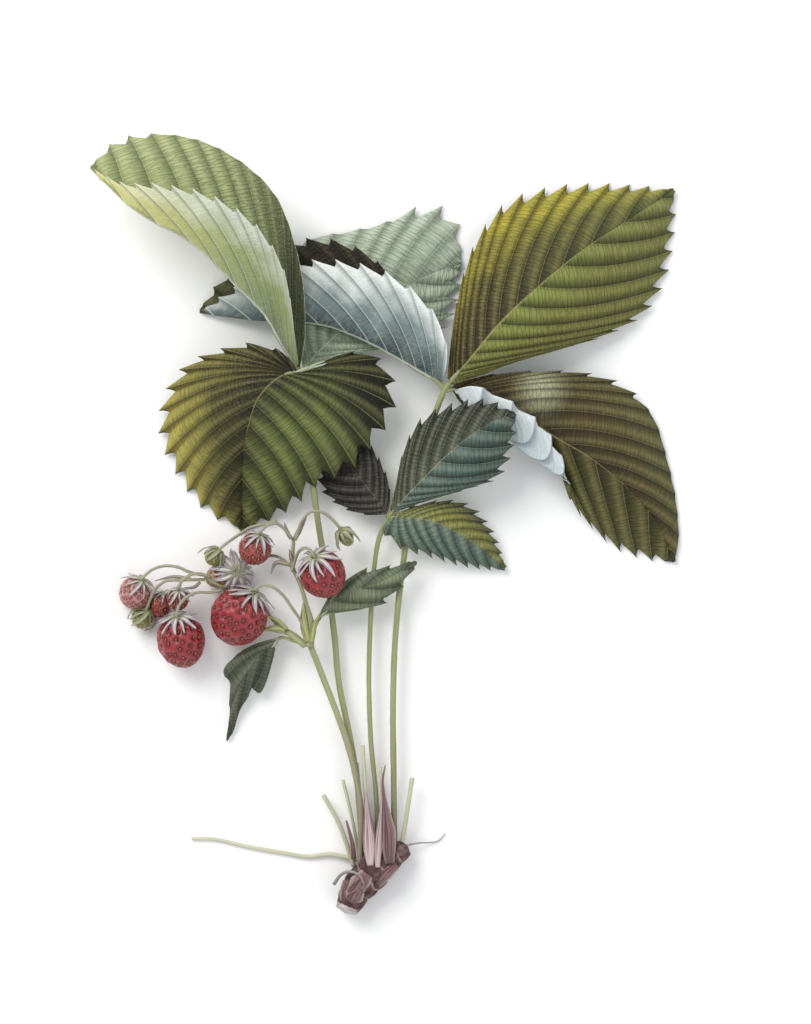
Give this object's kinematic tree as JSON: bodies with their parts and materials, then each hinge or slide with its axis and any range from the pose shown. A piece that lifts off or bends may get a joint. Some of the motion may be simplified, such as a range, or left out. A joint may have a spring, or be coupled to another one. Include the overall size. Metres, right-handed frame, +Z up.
{
  "type": "strawberry plant",
  "caption": "Woodland strawberry plant, lifted whole and lying flat: toothed three-part leaves on long stalks, a branched stalk of red and unripe berries, and a short cut rhizome with a runner.",
  "frame": {"origin": "centre of the plant's bounding box, on the surface it lies on", "axes": "+Y from the root end towards the leaves, +X to the right seen from above, +Z up from the surface; the side that faces up is the one shown"},
  "size_m": [0.1529, 0.2023, 0.0334],
  "materials": {
    "leaf": "satin, pleated and veined, paler and downy below",
    "stalk": "satin, finely haired",
    "ripe_berry": "waxy red flesh with sunken yellow-brown seeds",
    "unripe_berry": "dull pink to tan flesh",
    "sepal": "matt, downy, violet-veined",
    "rhizome": "rough bark and old scales",
    "sheath": "dry, papery, streaked"
  },
  "bodies": {
    "root": {"berry_1": "ripe_berry", "berry_2": "ripe_berry", "berry_3": "ripe_berry", "berry_4": "ripe_berry", "berry_5": "unripe_berry", "berry_6": "ripe_berry", "berry_7": "unripe_berry", "berry_8": "ripe_berry", "bract_leaf_left": "leaf", "bract_leaf_right": "leaf", "bud_centre": "sepal", "bud_left": "sepal", "bud_right": "sepal", "calyx_1": "sepal", "calyx_2": "sepal", "calyx_3": "sepal", "calyx_4": "sepal", "calyx_5": "sepal", "calyx_6": "sepal", "calyx_7": "sepal", "leaflet_left_behind": "leaf", "leaflet_left_bottom": "leaf", "leaflet_left_top": "leaf", "leaflet_middle_left": "leaf", "leaflet_middle_right": "leaf", "leaflet_middle_top": "leaf", "leaflet_right_bottom": "leaf", "leaflet_right_folded": "leaf", "leaflet_right_top": "leaf", "old_stalk_1": "stalk", "old_stalk_2": "stalk", "old_stalk_3": "stalk", "old_stalk_4": "stalk", "old_stalk_5": "stalk", "old_stalk_6": "stalk", "pedicel_1": "stalk", "pedicel_10": "stalk", "pedicel_2": "stalk", "pedicel_3": "stalk", "pedicel_4": "stalk", "pedicel_5": "stalk", "pedicel_6": "stalk", "pedicel_7": "stalk", "pedicel_8": "stalk", "pedicel_9": "stalk", "peduncle": "stalk", "peduncle_tip": "stalk", "peduncle_upper": "stalk", "petiole_left": "stalk", "petiole_middle": "stalk", "petiole_right": "stalk", "rhizome": "rhizome", "root_stub": "rhizome", "rootlet": "rhizome", "runner": "stalk", "sheath_left": "sheath", "sheath_outer": "sheath", "sheath_right": "sheath", "side_branch": "stalk"}
  },
  "joints": []
}
